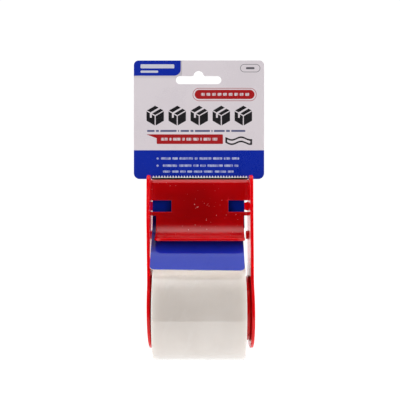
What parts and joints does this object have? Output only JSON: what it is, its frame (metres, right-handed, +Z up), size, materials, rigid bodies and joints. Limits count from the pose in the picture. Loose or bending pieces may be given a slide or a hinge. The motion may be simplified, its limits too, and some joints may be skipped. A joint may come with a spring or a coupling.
{
  "type": "tape dispenser",
  "caption": "Hand-held packing tape dispenser: red plastic frame with sprung arms, serrated steel blade, full tape roll and printed hang card.",
  "frame": {"origin": "bottom centre: under the roll's axis, at the lowest line of the roll", "axes": "+Z up towards the blade and the hang slot, +X to the right seen from the front, -Y towards the user"},
  "size_m": [0.071, 0.055, 0.162],
  "materials": {
    "red_plastic": "glossy moulded polypropylene, signal red",
    "blade_steel": "bright rolled strip steel",
    "core_board": "wound kraft board",
    "tape_film": "clear film wound on itself, milky cream",
    "card_stock": "coated printed card"
  },
  "bodies": {
    "frame": {"front_plate": "red_plastic", "thumb_lip": "red_plastic", "blade_ledge": "red_plastic", "left_shoulder": "red_plastic", "right_shoulder": "red_plastic", "left_card_tab": "red_plastic", "right_card_tab": "red_plastic", "cutter_blade": "blade_steel", "blade_stakes": "red_plastic"},
    "left_spring_arm": {"left_arm": "red_plastic", "left_hub": "red_plastic", "left_card_peg": "red_plastic"},
    "right_spring_arm": {"right_arm": "red_plastic", "right_hub": "red_plastic", "right_card_peg": "red_plastic"},
    "roll": {"tape_core": "core_board", "tape_roll": "tape_film", "tape_pull_tab": "tape_film"},
    "card": {"hang_card": "card_stock", "card_tongue": "card_stock"}
  },
  "joints": [
    {"name": "roll_spin", "type": "hinge", "parent": "frame", "child": "roll", "pos_m": [0, 0, 0.0275], "axis": [1, 0, 0], "continuous": true},
    {"name": "left_arm_flex", "type": "hinge", "parent": "frame", "child": "left_spring_arm", "pos_m": [-0.02705, -0.005, 0.07745], "axis": [0, 1, 0], "range_deg": [0, 8], "stiffness_Nm_per_rad": 1.5},
    {"name": "right_arm_flex", "type": "hinge", "parent": "frame", "child": "right_spring_arm", "pos_m": [0.02705, -0.005, 0.07745], "axis": [0, -1, 0], "range_deg": [0, 8], "stiffness_Nm_per_rad": 1.5},
    {"name": "card_slide", "type": "slide", "parent": "frame", "child": "card", "axis": [0, 0, 1], "range_m": [0, 0.05], "deforming": ["card_tongue"]}
  ]
}
